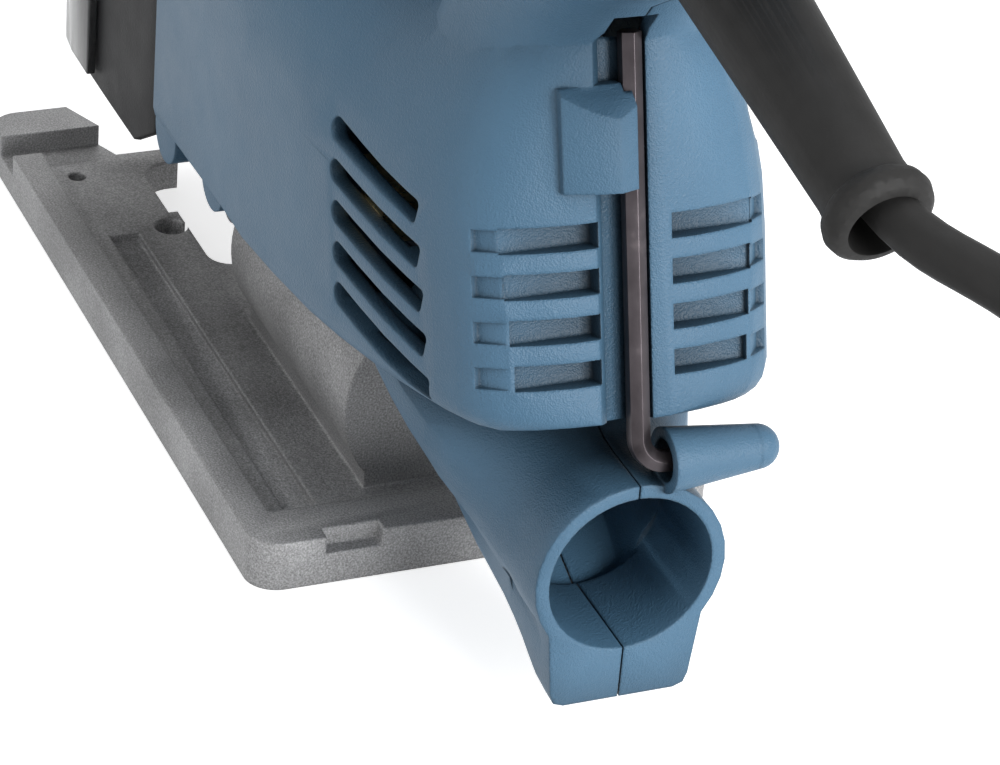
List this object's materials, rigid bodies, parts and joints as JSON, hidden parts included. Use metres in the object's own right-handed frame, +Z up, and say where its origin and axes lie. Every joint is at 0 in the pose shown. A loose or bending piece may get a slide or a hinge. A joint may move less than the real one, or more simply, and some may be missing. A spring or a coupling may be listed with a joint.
{
  "type": "jigsaw power tool",
  "caption": "Corded D-handle jigsaw with a split plastic housing, a tilting cast base, a reciprocating blade plunger, a rear dust nozzle and a stored hex key.",
  "frame": {"origin": "on the sole plane of the base, under the middle of the tool's length without its cord, on the middle plane between left and right", "axes": "+Z up; -X towards the blade end, +X towards the cord end; the tool's left side is -Y"},
  "size_m": [0.3272, 0.1411, 0.1971],
  "materials": {
    "blue_plastic": "fine-textured moulded nylon",
    "black_plastic": "matte moulded plastic",
    "cast_alloy": "grainy as-cast die-cast alloy",
    "case_alloy": "die-cast alloy",
    "steel": "ground steel",
    "dark_steel": "black-bronze oxide",
    "bronze": "sintered bronze",
    "copper": "copper segments",
    "laminations": "varnished laminations",
    "graphite": "carbon",
    "clear_plastic": "clear plastic",
    "black_rubber": "matte rubber",
    "brass": "plated brass"
  },
  "bodies": {
    "body": {"housing_left": "blue_plastic", "housing_right": "blue_plastic", "housing_screws": "dark_steel", "nose_cover": "black_plastic", "gear_housing": "case_alloy", "plunger_bushes": "bronze", "gear_shaft": "steel", "tilt_bolt": "dark_steel", "clamp_plate": "steel", "roller_fork": "steel", "fork_pin": "steel", "front_bearing": "steel", "rear_bearing": "steel", "stator": "laminations", "fan_baffle": "black_plastic", "brush_holders": "brass", "carbon_brushes": "graphite", "switch_module": "black_plastic", "hex_key": "dark_steel", "cord_clamp": "black_plastic", "cord_guard": "black_rubber", "power_cord": "black_rubber", "cord_coil": "black_rubber", "power_plug": "black_rubber", "plug_pins": "brass"},
    "base": {"base": "cast_alloy"},
    "roller": {"roller": "steel"},
    "plunger": {"plunger": "steel", "blade_holder": "dark_steel", "blade_bolts": "dark_steel"},
    "armature": {"armature_shaft": "steel", "armature_core": "laminations", "commutator": "copper", "fan": "black_plastic"},
    "crank_gear": {"crank_gear": "steel"},
    "trigger": {"trigger": "black_plastic"},
    "lock_on_button": {"lock_on_button": "black_plastic"},
    "dust_cover": {"dust_cover": "clear_plastic"}
  },
  "joints": [
    {"name": "base_tilt", "type": "hinge", "parent": "body", "child": "base", "pos_m": [-0.005, 0, 0.02], "axis": [1, 0, 0], "range_deg": [-45, 45]},
    {"name": "roller_spin", "type": "hinge", "parent": "body", "child": "roller", "pos_m": [-0.062, 0, 0.0216], "axis": [0, 1, 0], "continuous": true},
    {"name": "plunger_slide", "type": "slide", "parent": "body", "child": "plunger", "axis": [0, 0, 1], "range_m": [-0.009, 0.009]},
    {"name": "armature_spin", "type": "hinge", "parent": "body", "child": "armature", "pos_m": [0.005, 0, 0.07], "axis": [1, 0, 0], "continuous": true},
    {"name": "crank_spin", "type": "hinge", "parent": "body", "child": "crank_gear", "pos_m": [-0.045, 0, 0.092], "axis": [1, 0, 0], "continuous": true},
    {"name": "trigger_press", "type": "hinge", "parent": "body", "child": "trigger", "pos_m": [-0.001, 0, 0.1685], "axis": [0, 1, 0], "range_deg": [0, 7], "stiffness_Nm_per_rad": 1.2, "springref_deg": -5.73},
    {"name": "lock_on_push", "type": "slide", "parent": "body", "child": "lock_on_button", "axis": [0, 1, 0], "range_m": [0, 0.003], "stiffness_N_per_m": 400, "springref_m": -0.001},
    {"name": "dust_cover_slide", "type": "slide", "parent": "body", "child": "dust_cover", "axis": [0, 0, 1], "range_m": [0, 0.016]}
  ],
  "couplings": [
    {"joint": "crank_spin", "follows": "armature_spin", "ratio": -0.22222}
  ]
}
